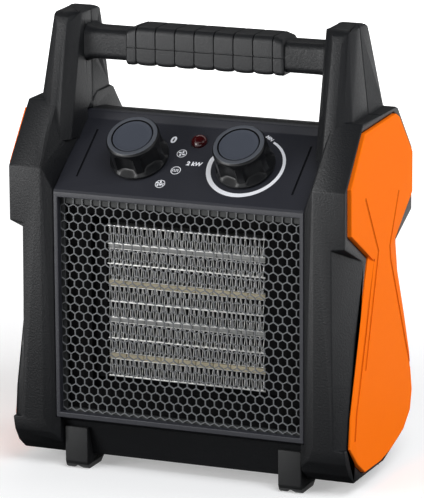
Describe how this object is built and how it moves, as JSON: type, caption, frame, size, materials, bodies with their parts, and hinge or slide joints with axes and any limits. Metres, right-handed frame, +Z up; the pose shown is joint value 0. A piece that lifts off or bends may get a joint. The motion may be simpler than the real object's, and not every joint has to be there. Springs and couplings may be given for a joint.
{
  "type": "forced air heater",
  "caption": "Portable electric fan heater with a black two-part housing, orange side panels, a hexagonal front grille, a sloping panel with two knobs, and a carrying handle on two posts.",
  "frame": {"origin": "on the floor under the middle of the housing", "axes": "+X to the right seen from the front, +Y to the rear, +Z up; the grille looks along -Y"},
  "size_m": [0.2248, 0.1174, 0.284],
  "materials": {
    "shell_plastic": "fine matte moulded texture",
    "panel_plastic": "matte",
    "orange_plastic": "satin",
    "grille_steel": "black powder coat",
    "inner_plastic": "matte",
    "foot_rubber": "matte",
    "grip_rubber": "soft matte",
    "knob_plastic": "satin",
    "cap_plastic": "matte",
    "lens_plastic": "clear red",
    "terminal_plastic": "matte",
    "screw_steel": "zinc plated",
    "fin_aluminium": "mill finish",
    "core_steel": "laminated",
    "coil_copper": "enamelled wire"
  },
  "bodies": {
    "housing": {"front_shell": "shell_plastic", "rear_shell": "shell_plastic", "front_panel": "panel_plastic", "side_panel_right": "orange_plastic", "side_panel_left": "orange_plastic", "front_grille": "grille_steel", "grille_retainer": "inner_plastic", "rear_grille": "shell_plastic", "front_foot_right": "foot_rubber", "front_foot_left": "foot_rubber", "rear_foot_right": "foot_rubber", "rear_foot_left": "foot_rubber", "handle_bar": "shell_plastic", "handle_grip": "grip_rubber", "cable_gland": "inner_plastic", "terminal_block": "terminal_plastic", "case_screw_1": "screw_steel", "case_screw_2": "screw_steel", "case_screw_3": "screw_steel", "case_screw_4": "screw_steel", "post_screw_left": "screw_steel", "post_screw_right": "screw_steel", "selector_body": "terminal_plastic", "thermostat_body": "terminal_plastic", "indicator_lens": "lens_plastic", "indicator_lamp": "terminal_plastic", "heater_end_right": "inner_plastic", "heater_end_left": "inner_plastic", "heater_rail_top": "fin_aluminium", "heater_rail_bottom": "fin_aluminium", "heater_duct": "inner_plastic", "thermal_cutout": "fin_aluminium", "motor_stator": "core_steel", "motor_coil": "coil_copper", "motor_mount": "inner_plastic", "motor_bridge": "screw_steel", "fan_shroud": "inner_plastic", "heater_fin_1": "fin_aluminium", "heater_fin_2": "fin_aluminium", "heater_fin_3": "fin_aluminium", "heater_fin_4": "fin_aluminium", "heater_fin_5": "fin_aluminium", "heater_fin_6": "fin_aluminium", "heater_fin_7": "fin_aluminium", "heater_fin_8": "fin_aluminium", "ptc_strip_1": "fin_aluminium", "ptc_strip_2": "fin_aluminium", "ptc_strip_3": "fin_aluminium", "ptc_strip_4": "fin_aluminium"},
    "selector": {"selector_knob": "knob_plastic", "selector_knob_cap": "cap_plastic", "selector_spindle": "screw_steel"},
    "thermostat": {"thermostat_knob": "knob_plastic", "thermostat_knob_cap": "cap_plastic", "thermostat_spindle": "screw_steel"},
    "fan": {"fan_impeller": "inner_plastic", "motor_shaft": "screw_steel", "motor_rotor": "core_steel"}
  },
  "joints": [
    {"name": "selector_turn", "type": "hinge", "parent": "housing", "child": "selector", "pos_m": [-0.035, -0.02897, 0.19678], "axis": [0, -0.5831, 0.8124], "range_deg": [-90, 0]},
    {"name": "thermostat_turn", "type": "hinge", "parent": "housing", "child": "thermostat", "pos_m": [0.035, -0.02897, 0.19678], "axis": [0, -0.5831, 0.8124], "range_deg": [-250, 0]},
    {"name": "fan_spin", "type": "hinge", "parent": "housing", "child": "fan", "pos_m": [0, 0.013, 0.108], "axis": [0, 1, 0], "continuous": true}
  ]
}
